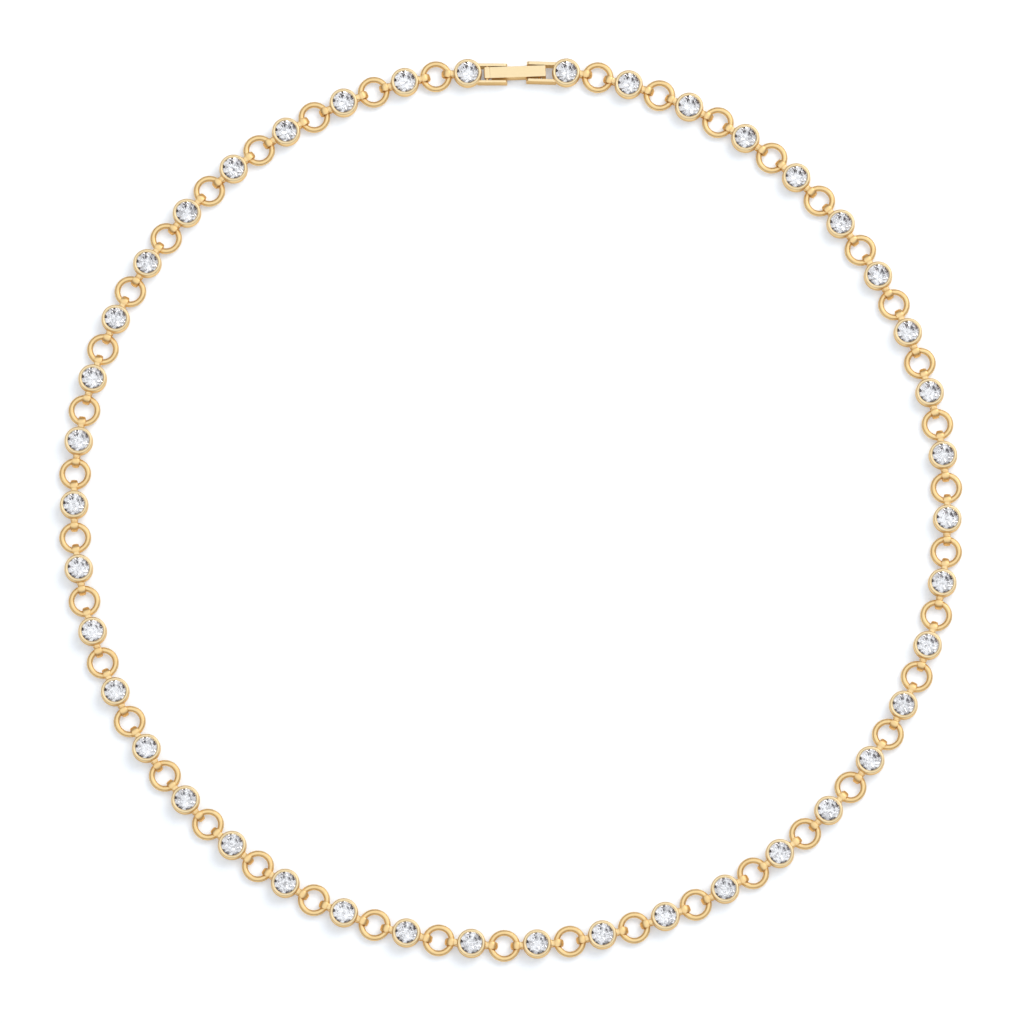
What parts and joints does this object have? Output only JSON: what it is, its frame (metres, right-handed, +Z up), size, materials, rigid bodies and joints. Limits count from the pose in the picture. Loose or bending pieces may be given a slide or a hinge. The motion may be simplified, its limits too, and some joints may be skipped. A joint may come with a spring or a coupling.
{
  "type": "riviere necklace",
  "caption": "Closed necklace of round clear stones in rounded bezel settings, joined by plain jump rings, with a hinged fold-over clasp, lying flat as a nearly round loop.",
  "frame": {"origin": "on the surface that the necklace lies on, at the middle of the loop's box", "axes": "+Z up from the surface to the tables of the stones, +Y from the middle of the loop towards the clasp, +X towards the catch end of the clasp"},
  "size_m": [0.1336, 0.1358, 0.0028],
  "materials": {
    "gold": "satin",
    "stone": "polished"
  },
  "bodies": {
    "necklace": {"setting_02": "gold", "setting_03": "gold", "setting_04": "gold", "setting_05": "gold", "setting_06": "gold", "setting_07": "gold", "setting_08": "gold", "setting_09": "gold", "setting_10": "gold", "setting_11": "gold", "setting_12": "gold", "setting_13": "gold", "setting_14": "gold", "setting_15": "gold", "setting_16": "gold", "setting_17": "gold", "setting_18": "gold", "setting_19": "gold", "setting_20": "gold", "setting_21": "gold", "setting_22": "gold", "setting_23": "gold", "setting_24": "gold", "setting_25": "gold", "setting_26": "gold", "setting_27": "gold", "setting_28": "gold", "setting_29": "gold", "setting_30": "gold", "setting_31": "gold", "setting_32": "gold", "setting_33": "gold", "setting_34": "gold", "setting_35": "gold", "setting_36": "gold", "setting_37": "gold", "setting_38": "gold", "setting_39": "gold", "setting_40": "gold", "setting_41": "gold", "clasp_hinge_end": "gold", "clasp_catch_end": "gold", "stones": "stone", "jump_rings": "gold"},
    "lever": {"clasp_lever": "gold"}
  },
  "joints": [
    {"name": "lever_hinge", "type": "hinge", "parent": "necklace", "child": "lever", "pos_m": [-0.0035, 0.06571, 0.00177], "axis": [-0.0034, -1, 0], "range_deg": [0, 100]}
  ]
}
